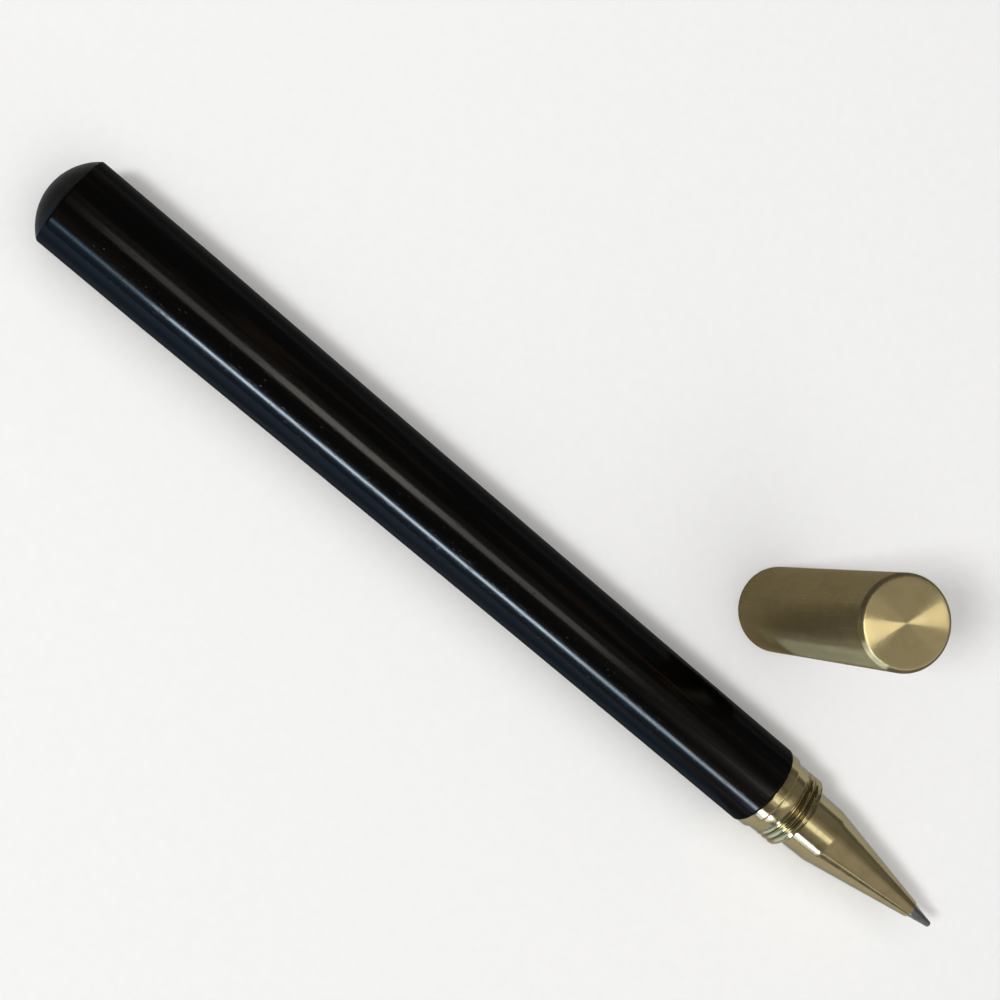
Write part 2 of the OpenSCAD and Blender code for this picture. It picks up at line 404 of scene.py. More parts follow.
class Graph:
    """A node tree, with short ways to add and join nodes."""

    def __init__(self, tree: bpy.types.NodeTree) -> None:
        """Takes the tree that the nodes go into."""
        self.tree = tree

    def node(self, kind: str, settings: Optional[dict[str, object]] = None,
             **sockets: object) -> bpy.types.Node:
        """Adds a node.

        Args:
            kind: Shader node type, without its ShaderNode prefix.
            settings: Properties of the node itself.
            **sockets: Values or output sockets for its inputs, with _ for a space in their names.

        Returns:
            The new node.
        """
        made = self.tree.nodes.new("ShaderNode" + kind)
        for key, value in (settings or {}).items():
            setattr(made, key, value)
        for key, value in sockets.items():
            self.feed(made.inputs[key.replace("_", " ")], value)
        return made

    def feed(self, socket: Socket, value: object) -> None:
        """Sets an input to a value, or links it to an output.

        Args:
            socket: The input.
            value: A plain value or an output socket.
        """
        if isinstance(value, Socket):
            self.tree.links.new(value, socket)
        else:
            socket.default_value = value

    def grain(self, stretch: Place, detail: float = 3.0, distortion: float = 0.0,
              on: Coordinates = Coordinates.OBJECT) -> Socket:
        """Noise on the piece's own coordinates.

        Args:
            stretch: Repeats per unit along each axis.
            detail: Octaves of the noise.
            distortion: How much it is bent.
            on: Coordinates that it is laid on.

        Returns:
            The noise's value, about 0.5 on average.
        """
        if on is Coordinates.TURNED:
            source = self.node("UVMap", {"uv_map": TURNED_UV})
        else:
            source = self.node("TexCoord")
        mapped = self.node("Mapping", Vector=source.outputs[on.value], Scale=stretch)
        noise = self.node("TexNoise", Vector=mapped.outputs["Vector"], Scale=1.0, Detail=detail,
                          Roughness=NOISE_ROUGHNESS, Distortion=distortion)
        return noise.outputs["Fac"]

    def band(self, value: Socket, span: Span, to: Span = (0.0, 1.0)) -> Socket:
        """Maps a span of values smoothly onto another, clamped at both ends.

        Args:
            value: Socket with the value.
            span: Values at the two ends.
            to: Results at the two ends.

        Returns:
            The mapped value.
        """
        node = self.node("MapRange", {"interpolation_type": "SMOOTHSTEP"}, Value=value,
                         From_Min=span[0], From_Max=span[1], To_Min=to[0], To_Max=to[1])
        return node.outputs["Result"]

    def join(self, how: Sum, first: object, second: object) -> Socket:
        """Joins two values by one sum.

        Args:
            how: The sum.
            first: First value or socket.
            second: Second value or socket.

        Returns:
            The result.
        """
        made = self.node("Math", {"operation": how.value})
        self.feed(made.inputs[0], first)
        self.feed(made.inputs[1], second)
        return made.outputs["Value"]

    def blend(self, share: Socket, first: object, second: object) -> Socket:
        """Blends two colours.

        Args:
            share: How much of the second colour there is.
            first: Colour or socket at 0.
            second: Colour or socket at 1.

        Returns:
            The blended colour.
        """
        made = self.node("Mix", {"data_type": "RGBA"}, Factor=share, A=rgba(first), B=rgba(second))
        return made.outputs["Result"]

    def bump(self, height: Socket, depth: float,
             under: Optional[Socket] = None) -> Socket:
        """Bumps the surface.

        Args:
            height: Socket with the height, from 0 to 1.
            depth: Depth of a full step, in metres.
            under: Normal of another bump below this one.

        Returns:
            The bumped normal.
        """
        made = self.node("Bump", Height=height, Distance=depth, Strength=1.0)
        if under is not None:
            self.feed(made.inputs["Normal"], under)
        return made.outputs["Normal"]


class Surface(Graph):
    """A material's node tree around one Principled shader."""

    def __init__(self, name: str) -> None:
        """Makes an empty material with the shader on its output.

        Args:
            name: Name of the material.
        """
        self.material = bpy.data.materials.new(name)
        self.material.use_nodes = True
        super().__init__(self.material.node_tree)
        self.tree.nodes.clear()
        self.shader = self.node("BsdfPrincipled")
        self.node("OutputMaterial", Surface=self.shader.outputs["BSDF"])

    def shade(self, **sockets: object) -> None:
        """Sets or links the shader's own inputs, with _ for a space in their names."""
        for key, value in sockets.items():
            self.feed(self.shader.inputs[key.replace("_", " ")], value)

    def pits(self, marks: Socket, depth: float,
             under: Socket) -> Socket:
        """Bumps the surface inwards where there are marks.

        Args:
            marks: Socket that is 1 in a mark and 0 elsewhere.
            depth: Depth of a mark, in metres.
            under: Normal of another bump below this one.

        Returns:
            The bumped normal.
        """
        return self.bump(self.join(Sum.SUBTRACT, 1.0, marks), depth, under)


@dataclass(frozen=True)
class PolishedEbony:
    """Black, fine-grained wood, sanded, oiled and polished.

    Streaks, fibres, pores, sanding marks and dents are repeats per metre, along the pen and across it.
    A span holds the noise values between which a mark fades in. The sheen is the roughness of the
    wood, with what fibres and pores add to it. The polish is a coat, stronger seen straight on than at
    a flat angle, and polish_span says how far the surface is turned away at the two.
    """

    name: str
    black: Colour = (0.0007, 0.0006, 0.0006)
    brown: Colour = (0.0075, 0.0047, 0.003)
    pore: Colour = (0.0, 0.0, 0.0)
    streaks: Place = (28.0, 900.0, 900.0)
    streak_bend: float = 0.6
    streak_span: Span = (0.45, 0.8)
    fibres: Place = (260.0, 5200.0, 5200.0)
    fibre_depth: float = 0.003 * MM
    pores: Place = (420.0, 5200.0, 5200.0)
    pore_span: Span = (0.64, 0.72)
    pore_depth: float = 0.002 * MM
    sanding: Place = (5200.0, 240.0, 240.0)
    sanding_depth: float = 0.0014 * MM
    dents: Place = (2600.0, 2600.0, 2600.0)
    dent_span: Span = (0.71, 0.77)
    dent_depth: float = 0.01 * MM
    body_gloss: float = 0.0
    sheen: float = 0.28
    fibre_sheen: float = 0.12
    pore_sheen: float = 0.2
    wood_ior: float = 1.5
    polish_ior: float = 1.35
    polish: float = 0.13
    polish_front: float = 0.46
    polish_edge: float = 0.09
    polish_span: Span = (0.17, 0.5)

    def build(self) -> Material:
        """Makes the material.

        Returns:
            The material.
        """
        wood = Surface(self.name)
        streak = wood.band(wood.grain(self.streaks, 5.0, self.streak_bend), self.streak_span)
        fibre = wood.grain(self.fibres)
        pore = wood.band(wood.grain(self.pores, 2.0), self.pore_span)
        sanded = wood.grain(self.sanding, 2.0)
        dent = wood.band(wood.grain(self.dents, 1.0), self.dent_span)
        colour = wood.blend(streak, self.black, self.brown)
        colour = wood.blend(pore, colour, self.pore)
        rough = wood.band(fibre, NOISE_MIDDLE, (self.sheen, self.sheen + self.fibre_sheen))
        rough = wood.join(Sum.ADD, rough, wood.join(Sum.MULTIPLY, pore, self.pore_sheen))
        normal = wood.bump(sanded, self.sanding_depth)
        normal = wood.bump(fibre, self.fibre_depth, normal)
        normal = wood.pits(pore, self.pore_depth, normal)
        normal = wood.pits(dent, self.dent_depth, normal)
        flank = wood.node("LayerWeight", Blend=0.5).outputs["Facing"]
        coat = wood.band(flank, self.polish_span, (self.polish_front, self.polish_edge))
        wood.shade(Base_Color=colour, Roughness=rough, Normal=normal, IOR=self.wood_ior,
                   Specular_IOR_Level=self.body_gloss, Coat_Weight=coat, Coat_IOR=self.polish_ior,
                   Coat_Roughness=self.polish, Coat_Normal=normal)
        return wood.material


@dataclass(frozen=True)
class TurnedBrass:
    """Brass turned on a lathe: fine lines round the piece, and a darker colour in the thread grooves.

    Patches and smears are repeats per metre. Lines are repeats per millimetre of the outline, and
    line_repeats and scratches are laid on the map round the piece. A span holds the values between
    which a mark fades in. The gloss is the roughness of the smoothest metal, and wear is how uneven
    it is. The spread is the anisotropy across the lines, scuffs the share of light scratches, and
    edge the tint of the reflection at a flat angle. Where it is not white, that tint is a painted
    reflection, standing in for the colour and dimness of the surroundings that the metal reflects.
    """

    name: str
    colour: Colour = (0.365, 0.3, 0.162)
    tarnish: Colour = (0.322, 0.26, 0.136)
    grime: Colour = (0.15, 0.105, 0.035)
    scuffed: Colour = (0.46, 0.385, 0.22)
    patches: Place = (420.0, 420.0, 420.0)
    patch_bend: float = 0.5
    patch_span: Span = (0.4, 0.75)
    smears: Place = (900.0, 900.0, 900.0)
    smear_span: Span = (0.45, 0.75)
    lines: float = 9.0
    line_repeats: float = 3.0
    line_depth: float = 0.0006 * MM
    groove_span: Span = (0.35, 1.0)
    grime_share: float = 0.85
    grime_dullness: float = 0.15
    scratches: Place = (210.0, 0.16, 1.0)
    scratch_span: Span = (0.57, 0.7)
    gloss: float = 0.11
    spread: float = 0.4
    wear: float = 0.05
    scuffs: float = 0.0
    # Painted reflection: this bluish, dimmed tint of the reflection at a flat angle stands in for the window
    # light and darker surroundings that the flanks reflect.
    edge: Colour = (0.5, 0.55, 0.62)

    def build(self) -> Material:
        """Makes the material.

        Returns:
            The material.
        """
        brass = Surface(self.name)
        aged = brass.band(brass.grain(self.patches, 4.0, self.patch_bend), self.patch_span)
        line = brass.grain((self.line_repeats, self.lines, 1.0), on=Coordinates.TURNED)
        smear = brass.grain(self.smears)
        groove = brass.node("Attribute", {"attribute_name": GROOVE}).outputs["Fac"]
        colour = brass.blend(aged, self.colour, self.tarnish)
        # Darker colour and more roughness where the thread is cut deeper.
        groove_darkening = brass.band(groove, self.groove_span, (0.0, self.grime_share))
        colour = brass.blend(groove_darkening, colour, self.grime)
        if self.scuffs:
            scratch = brass.grain(self.scratches, 2.0, on=Coordinates.TURNED)
            share = brass.band(scratch, self.scratch_span, (0.0, self.scuffs))
            colour = brass.blend(share, colour, self.scuffed)
        lined = brass.band(line, NOISE_MIDDLE, (self.gloss, self.gloss + self.wear))
        smeared = brass.band(smear, self.smear_span, (0.0, self.wear))
        rough = brass.join(Sum.ADD, lined, smeared)
        rough = brass.join(Sum.ADD, rough, brass.join(Sum.MULTIPLY, groove_darkening, self.grime_dullness))
        around = brass.node("Tangent", {"direction_type": "UV_MAP", "uv_map": TURNED_UV})
        brass.shade(Base_Color=colour, Metallic=1.0, Roughness=rough,
                    Normal=brass.bump(line, self.line_depth), Anisotropic=self.spread,
                    Anisotropic_Rotation=ACROSS_LINES, Tangent=around.outputs["Tangent"],
                    Specular_Tint=rgba(self.edge))
        return brass.material


@dataclass(frozen=True)
class GroundSteel:
    """Drawn or ground grey metal with fine marks round it."""

    name: str
    colour: Colour = (0.18, 0.18, 0.172)
    dull: Colour = (0.14, 0.138, 0.13)
    spots: Place = (1500.0, 1500.0, 1500.0)
    spot_span: Span = (0.4, 0.7)
    marks: Place = (14000.0, 900.0, 900.0)
    mark_depth: float = 0.0003 * MM
    gloss: float = 0.27
    wear: float = 0.1

    def build(self) -> Material:
        """Makes the material.

        Returns:
            The material.
        """
        steel = Surface(self.name)
        spot = steel.band(steel.grain(self.spots, 4.0), self.spot_span)
        mark = steel.grain(self.marks, 2.0)
        steel.shade(Base_Color=steel.blend(spot, self.colour, self.dull), Metallic=1.0,
                    Roughness=steel.band(mark, NOISE_MIDDLE, (self.gloss, self.gloss + self.wear)),
                    Normal=steel.bump(mark, self.mark_depth))
        return steel.material


@dataclass(frozen=True)
class MouldedPlastic:
    """Extruded or moulded plastic with faint flow lines along it."""

    name: str
    colour: Colour
    shade: Colour
    gloss: float = 0.35
    light_through: float = 0.0
    light_depth: float = 0.5 * MM
    flow: Place = (60.0, 1800.0, 1800.0)
    flow_span: Span = (0.35, 0.7)
    flow_depth: float = 0.001 * MM
    wear: float = 0.1

    def build(self) -> Material:
        """Makes the material.

        Returns:
            The material.
        """
        plastic = Surface(self.name)
        flow = plastic.grain(self.flow)
        colour = plastic.blend(plastic.band(flow, self.flow_span), self.colour, self.shade)
        rough = plastic.band(flow, NOISE_MIDDLE, (self.gloss, self.gloss + self.wear))
        plastic.shade(Base_Color=colour, Roughness=rough, Normal=plastic.bump(flow, self.flow_depth),
                      Subsurface_Weight=self.light_through, Subsurface_Scale=self.light_depth)
        return plastic.material


@dataclass(frozen=True)
class InkFibre:
    """Bundled fibres soaked with dark ink."""

    name: str
    wet: Colour
    dry: Colour
    strands: Place = (120.0, 9000.0, 9000.0)
    strand_bend: float = 0.3
    strand_span: Span = (0.35, 0.75)
    strand_depth: float = 0.03 * MM
    dullness: Span = (0.55, 0.9)

    def build(self) -> Material:
        """Makes the material.

        Returns:
            The material.
        """
        fibre = Surface(self.name)
        strand = fibre.grain(self.strands, 3.0, self.strand_bend)
        fibre.shade(Base_Color=fibre.blend(fibre.band(strand, self.strand_span), self.wet, self.dry),
                    Roughness=fibre.band(strand, NOISE_MIDDLE, self.dullness),
                    Normal=fibre.bump(strand, self.strand_depth))
        return fibre.material


@dataclass(frozen=True)
class StudioPaper:
    """Plain pale paper under the pen, lit from within where the lamps no longer reach.

    Attributes:
        name: Name of the material.
        colour: Colour of the paper.
        tooth: Repeats of its grain per metre.
        tone: Brightness of its grain.
        dullness: Its roughness.
        glow: Distances at which its own light begins and is full, in metres.
        light: Strength of that light.
    """

    name: str = "studio_paper"
    colour: Colour = (0.88, 0.88, 0.88)
    tooth: Place = (900.0, 900.0, 900.0)
    tone: Span = (0.985, 1.0)
    dullness: float = 0.95
    glow: Span = (0.5, 4.5)
    light: float = 0.6

    def build(self) -> Material:
        """Makes the material.

        Returns:
            The material.
        """
        paper = Surface(self.name)
        tone = paper.band(paper.grain(self.tooth), NOISE_MIDDLE, self.tone)
        colour = paper.node("HueSaturation", Color=rgba(self.colour), Value=tone).outputs["Color"]
        place = paper.node("TexCoord").outputs["Object"]
        away = paper.node("VectorMath", {"operation": "LENGTH"}, Vector=place).outputs["Value"]
        paper.shade(Base_Color=colour, Roughness=self.dullness, Specular_IOR_Level=0.0,
                    Emission_Color=rgba(WHITE),
                    Emission_Strength=paper.band(away, self.glow, (0.0, self.light)))
        return paper.material


@dataclass(frozen=True)
class Piece:
    """A finished piece and the node that it stands for.

    Attributes:
        name: Name of the piece.
        node: Node of the solids that it stands for.
        body: Body that carries it.
        slot: Material slot of that node; not used.
        axis: Line that it is turned about.
    """

    name: str
    node: str
    body: str
    slot: str
    axis: Axis = Axis.PEN

    def make(self, mesh: BMesh, finishes: Sequence[Material]) -> bpy.types.Object:
        """Makes the object at its place.

        Args:
            mesh: Its mesh, turned about Z. It is freed.
            finishes: Its materials, in the order of the faces' slots.

        Returns:
            The object, with its place in its mesh.
        """
        bmesh.ops.transform(mesh, matrix=self.axis.place(), verts=mesh.verts)
        data = bpy.data.meshes.new(self.name)
        mesh.to_mesh(data)
        mesh.free()
        for finish in finishes:
            data.materials.append(finish)
        made = bpy.data.objects.new(self.name, data)
        bpy.context.scene.collection.objects.link(made)
        return made

    def stand_in(self, made: bpy.types.Object) -> None:
        """Puts the object in the place of its node and reports it.

        Args:
            made: The object, already on its body.
        """
        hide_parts(self.node)
        faces = len(made.data.polygons)
        log.info("%s: %d faces, stands for %s on %s", self.name, faces, self.node, self.body)

    def seat(self, mesh: BMesh, finishes: Sequence[Material]) -> None:
        """Makes the object and lets it ride on its body.

        Args:
            mesh: Its mesh, turned about Z. It is freed.
            finishes: Its materials, in the order of the faces' slots.
        """
        made = self.make(mesh, finishes)
        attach(made, self.body)
        self.stand_in(made)


@dataclass
class Barrel:
    """The wooden barrel: straight rear end, hollow taper, straight grip and a domed end."""

    rear_r: float = 6.05 * MM
    front_r: float = 5.6 * MM
    straight_len: float = 15.0 * MM
    grip_len: float = 6.0 * MM
    taper_power: float = 1.5
    dome_h: float = 2.9 * MM
    bore_r: float = 4.11 * MM
    bore_bottom: float = -97.8 * MM
    rim_round: float = 0.10 * MM
    front_round: float = 0.28 * MM
    taper_steps: int = 40
    dome_steps: int = 24
    side_cuts: int = 6

    def taper(self, start: float, length: float) -> list[Station]:
        """Stations along the hollow taper.

        Args:
            start: Where the taper begins on the axis.
            length: Its length.

        Returns:
            The stations, both ends included.
        """
        stations = []
        for i in range(self.taper_steps + 1):
            share = i / self.taper_steps
            radius = self.front_r + (self.rear_r - self.front_r) * (1 - share) ** self.taper_power
            stations.append(Station(start + share * length, radius))
        return stations

    def outline(self) -> list[Station]:
        """Corners of the barrel from the top of its dome to the bottom of its bore.

        Returns:
            The stations in order.
        """
        low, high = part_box("barrel")
        apex, front = low.x, high.x
        rear = apex + self.dome_h
        dome_r = (self.rear_r**2 + self.dome_h**2) / (2 * self.dome_h)
        rim_angle = math.asin(self.rear_r / dome_r)
        dome = arc(apex + dome_r, dome_r, math.pi, math.pi - rim_angle, self.dome_steps)
        taper_len = front - rear - self.straight_len - self.grip_len
        return [
            *dome[:-1],
            Station(rear, self.rear_r, self.rim_round, self.side_cuts),
            *self.taper(rear + self.straight_len, taper_len),
            Station(front, self.front_r, self.front_round),
            Station(front, self.bore_r),
            Station(self.bore_bottom, self.bore_r),
            Station(self.bore_bottom, 0.0),
        ]

    def build(self, side: PolishedEbony, end: PolishedEbony) -> None:
        """Builds and dresses the barrel, with end grain on its dome.

        Args:
            side: Finish of the turned side.
            end: Finish of the dome.
        """
        mesh = Lathe().turn(self.outline(), closed=False)
        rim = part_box("barrel")[0].x + self.dome_h
        for face in mesh.faces:
            face.material_index = int(face.calc_center_median().z < rim - self.rim_round / 2)
        barrel = Piece("wooden_barrel", "barrel", "pen_body", "ebony")
        barrel.seat(mesh, [side.build(), end.build()])


@dataclass
class FrontEnd:
    """Brass collar with its cap thread, and the brass nose that screws into it."""

    flange_r: float = 5.45 * MM
    flange_rear_round: float = 0.06 * MM
    flange_round: float = 0.16 * MM
    collar_r: float = 5.1 * MM
    collar_root_round: float = 0.12 * MM
    collar_tail_r: float = 3.7 * MM
    collar_tail_end: float = -13.4 * MM
    collar_tail_round: float = 0.1 * MM
    wood_face: float = -1.4 * MM
    thread_start: float = 1.45 * MM
    collar_front: float = 4.4 * MM
    thread_lead: float = 0.3 * MM
    thread_lead_round: float = 0.08 * MM
    thread_depth: float = 0.36 * MM
    thread_pitch: float = 0.9 * MM
    thread_run_out: float = 0.35 * MM
    thread_cuts: int = 70
    screw_bore_r: float = 3.7 * MM
    screw_bore_end: float = -0.05 * MM
    screw_bore_round: float = 0.1 * MM
    passage_r: float = 3.1 * MM
    tail_r: float = 3.65 * MM
    tail_end: float = 0.0 * MM
    tail_round: float = 0.05 * MM
    tail_pitch: float = 0.75 * MM
    tail_thread_depth: float = 0.28 * MM
    tail_run_out: float = 0.5 * MM
    tail_cuts: int = 80
    nose_rear_r: float = 4.1 * MM
    nose_rear_round: float = 0.14 * MM
    nose_shoulder: float = 9.0 * MM
    nose_shoulder_r: float = 4.0 * MM
    nose_shoulder_round: float = 0.18 * MM
    nose_cuts: int = 8
    nose_front: float = 24.6 * MM
    nose_end_r: float = 1.2 * MM
    nose_end_round: float = 0.06 * MM
    tube_front: float = 10.7 * MM
    holder_room_r: float = 1.9 * MM
    holder_end: float = 18.0 * MM
    tip_room_r: float = 1.02 * MM
    tip_room_round: float = 0.03 * MM

    def collar_outline(self) -> list[Station]:
        """Corners of the collar, outside from rear to front and back through its bore.

        Returns:
            The stations in order.
        """
        return [
            Station(self.collar_tail_end, self.collar_tail_r, self.collar_tail_round),
            Station(self.wood_face, self.collar_tail_r),
            Station(self.wood_face, self.flange_r, self.flange_rear_round),
            Station(0.0, self.flange_r, self.flange_round),
            Station(0.0, self.collar_r, self.collar_root_round),
            Station(self.thread_start, self.collar_r, cuts=self.thread_cuts),
            Station(self.collar_front - self.thread_lead, self.collar_r),
            Station(self.collar_front, self.collar_r - self.thread_lead, self.thread_lead_round),
            Station(self.collar_front, self.screw_bore_r, self.screw_bore_round),
            Station(self.screw_bore_end, self.screw_bore_r),
            Station(self.screw_bore_end, self.passage_r),
            Station(self.collar_tail_end, self.passage_r),
        ]

    def nose_outline(self) -> list[Station]:
        """Corners of the nose, outside from its tail to its lip and back through its bore.

        Returns:
            The stations in order.
        """
        return [
            Station(self.tail_end, self.tail_r - self.tail_thread_depth, self.tail_round),
            Station(self.tail_end + self.tail_thread_depth, self.tail_r, cuts=self.tail_cuts),
            Station(self.collar_front, self.tail_r),
            Station(self.collar_front, self.nose_rear_r, self.nose_rear_round),
            Station(self.nose_shoulder, self.nose_shoulder_r, self.nose_shoulder_round, self.nose_cuts),
            Station(self.nose_front, self.nose_end_r, self.nose_end_round),
            Station(self.nose_front, self.tip_room_r, self.tip_room_round),
            Station(self.holder_end, self.tip_room_r),
            Station(self.holder_end, self.holder_room_r),
            Station(self.tube_front, self.holder_room_r),
            Station(self.tube_front, self.passage_r),
            Station(self.tail_end, self.passage_r),
        ]

    def build(self, finish: TurnedBrass) -> None:
        """Builds and dresses the collar and the nose.

        Args:
            finish: Finish of both.
        """
        brass = finish.build()
        cap_thread = Thread(self.thread_start, self.collar_front - self.thread_lead, self.collar_r,
                            self.thread_depth, self.thread_pitch, self.thread_run_out)
        mesh = Lathe().turn(self.collar_outline(), closed=True, threads=[cap_thread])
        Piece("brass_collar", "threaded_collar", "pen_body", "brass").seat(mesh, [brass])
        nose_thread = Thread(self.tail_end + self.tail_thread_depth, self.collar_front, self.tail_r,
                             self.tail_thread_depth, self.tail_pitch, self.tail_run_out)
        mesh = Lathe().turn(self.nose_outline(), closed=True, threads=[nose_thread])
        Piece("brass_nose", "nose_cone", "nose", "brass").seat(mesh, [brass])


@dataclass
class WritingPoint:
    """Steel tip of the refill, with a socket that wraps past the middle of its ball."""

    shank_end: float = 13.9 * MM
    shank_r: float = 0.96 * MM
    shank_round: float = 0.06 * MM
    taper_start: float = 24.85 * MM
    taper_round: float = 0.05 * MM
    lip_r: float = 0.39 * MM
    lip_round: float = 0.03 * MM
    ball_at: float = 27.9 * MM
    ball_r: float = 0.3 * MM
    ball_gap: float = 0.02 * MM
    ball_wrap: float = 0.08 * MM
    wick_r: float = 0.48 * MM
    channel_r: float = 0.18 * MM
    channel_end: float = 26.98 * MM
    socket_steps: int = 12
    ball_steps: int = 24
    tip_turn_steps: int = 96
    ball_turn_steps: int = 48

    def outline(self) -> list[Station]:
        """Corners of the tip, outside from its shank to its lip and back through its socket.

        Returns:
            The stations in order.
        """
        socket_r = self.ball_r + self.ball_gap
        lip = self.ball_at + self.ball_wrap
        mouth_angle = math.acos(self.ball_wrap / socket_r)
        channel_angle = math.pi - math.asin(self.channel_r / socket_r)
        return [
            Station(self.shank_end, self.shank_r, self.shank_round),
            Station(self.taper_start, self.shank_r, self.taper_round),
            Station(lip, self.lip_r, self.lip_round),
            *arc(self.ball_at, socket_r, mouth_angle, channel_angle, self.socket_steps),
            Station(self.channel_end, self.channel_r),
            Station(self.channel_end, self.wick_r),
            Station(self.shank_end, self.wick_r),
        ]

    def build(self, steel: GroundSteel, hard: GroundSteel) -> None:
        """Builds and dresses the tip and its ball.

        Args:
            steel: Finish of the tip.
            hard: Finish of the ball.
        """
        mesh = Lathe(self.tip_turn_steps).turn(self.outline(), closed=True)
        Piece("steel_tip", "writing_tip", "refill", "steel").seat(mesh, [steel.build()])
        ball = arc(self.ball_at, self.ball_r, math.pi, 0.0, self.ball_steps)
        mesh = Lathe(self.ball_turn_steps).turn(ball, closed=False)
        Piece("rolling_ball", "tip_ball", "ball", "carbide").seat(mesh, [hard.build()])


@dataclass
class Cap:
    """The brass cap: plain cylinder, spun flat end, threaded mouth and drilled bore."""

    length: float = 38.0 * MM
    outer_r: float = 5.6 * MM
    bevel: float = 0.5 * MM
    bevel_end_round: float = 0.05 * MM
    bevel_side_round: float = 0.06 * MM
    mouth_bevel: float = 0.15 * MM
    mouth_side_round: float = 0.04 * MM
    mouth_rim_round: float = 0.03 * MM
    mouth_r: float = 5.2 * MM
    mouth_round: float = 0.08 * MM
    mouth_depth: float = 4.8 * MM
    bore_r: float = 4.4 * MM
    bore_round: float = 0.1 * MM
    bore_depth: float = 29.9 * MM
    drill_angle: float = math.radians(118)
    thread_start: float = 0.7 * MM
    thread_end: float = 4.2 * MM
    thread_stand: float = 0.3 * MM
    thread_pitch: float = 0.9 * MM
    thread_run_out: float = 0.5 * MM
    end_skin: float = 0.06 * MM
    wall_skin: float = 0.1 * MM
    end_cuts: int = 12
    side_cuts: int = 20
    thread_cuts: int = 90
    turn_steps: int = 192

    def outline(self) -> list[Station]:
        """Corners of the cap from the middle of its end to the point of its bore.

        Returns:
            The stations in order.
        """
        point = self.bore_r / math.tan(self.drill_angle / 2)
        return [
            Station(self.length, 0.0, cuts=self.end_cuts),
            Station(self.length, self.outer_r - self.bevel, self.bevel_end_round),
            Station(self.length - self.bevel, self.outer_r, self.bevel_side_round, self.side_cuts),
            Station(self.mouth_bevel, self.outer_r, self.mouth_side_round),
            Station(0.0, self.outer_r - self.mouth_bevel, self.mouth_rim_round),
            Station(0.0, self.mouth_r, self.mouth_round),
            Station(self.thread_start, self.mouth_r, cuts=self.thread_cuts),
            Station(self.thread_end, self.mouth_r),
            Station(self.mouth_depth, self.mouth_r),
            Station(self.mouth_depth, self.bore_r, self.bore_round),
            Station(self.bore_depth, self.bore_r),
            Station(self.bore_depth + point, 0.0),
        ]

    def choose(self, mesh: BMesh) -> None:
        """Gives the end, the side and the inside their own material slots.

        Args:
            mesh: The turned cap.
        """
        for face in mesh.faces:
            middle = face.calc_center_median()
            if middle.z > self.length - self.end_skin:
                slot = CapFace.END
            elif middle.xy.length > self.mouth_r + self.wall_skin:
                slot = CapFace.SIDE
            else:
                slot = CapFace.INSIDE
            face.material_index = slot.value

    def build(self, finishes: dict[CapFace, TurnedBrass]) -> None:
        """Builds and dresses the cap where it stands.

        Args:
            finishes: Finish of each of its faces.
        """
        thread = Thread(self.thread_start, self.thread_end, self.mouth_r, self.thread_stand,
                        self.thread_pitch, self.thread_run_out)
        mesh = Lathe(self.turn_steps).turn(self.outline(), closed=False, threads=[thread])
        self.choose(mesh)
        cap = Piece("brass_cap", "cap", "cap", "brass_cap", Axis.CAP)
        cap.seat(mesh, [finishes[face].build() for face in CapFace])


@dataclass
class RefillSpring:
    """Wire spring behind the refill, wound by a spin that also climbs."""

    wire_r: float = 0.25 * MM
    wire_sides: int = 12
    coil_r: float = 2.55 * MM
    first: float = -97.52 * MM
    end_pitch: float = 1.0 * MM
    open_pitch: float = 1.777 * MM
    open_turns: int = 7
    steps: int = 32

    def wind(self) -> BMesh:
        """Winds the wire, with a close turn at each end.

        Returns:
            The closed mesh, wound about Z.
        """
        mesh = bmesh.new()
        bmesh.ops.create_circle(mesh, cap_ends=False, segments=self.wire_sides, radius=self.wire_r)
        bmesh.ops.rotate(mesh, verts=mesh.verts, matrix=Matrix.Rotation(QUARTER_TURN, 3, "X"))
        bmesh.ops.translate(mesh, verts=mesh.verts, vec=(self.coil_r, 0.0, self.first))
        last = mesh.verts[:] + mesh.edges[:]
        close = (1, self.end_pitch)
        for turns, pitch in (close, (self.open_turns, self.open_pitch), close):
            wound = bmesh.ops.spin(
                mesh, geom=last, axis=(0, 0, 1), dvec=(0, 0, pitch / self.steps),
                angle=FULL_TURN * turns, steps=self.steps * turns, use_merge=False,
            )
            last = wound["geom_last"]
        ends = [edge for edge in mesh.edges if len(edge.link_faces) == 1]
        bmesh.ops.holes_fill(mesh, edges=ends, sides=0)
        bmesh.ops.recalc_face_normals(mesh, faces=mesh.faces)
        return mesh

    def build(self, steel: GroundSteel) -> None:
        """Builds and dresses the spring, which stretches after the refill.

        Args:
            steel: Finish of the wire.
        """
        mesh = self.wind()
        Lathe().shade(mesh)
        spring = Piece("wire_spring", "refill_spring", "pen_body", "spring_steel")
        made = spring.make(mesh, [steel.build()])
        low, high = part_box("refill_spring")
        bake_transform(made, "pen_body", "refill", start=(low.x, 0, 0), end=(high.x, 0, 0))
        spring.stand_in(made)


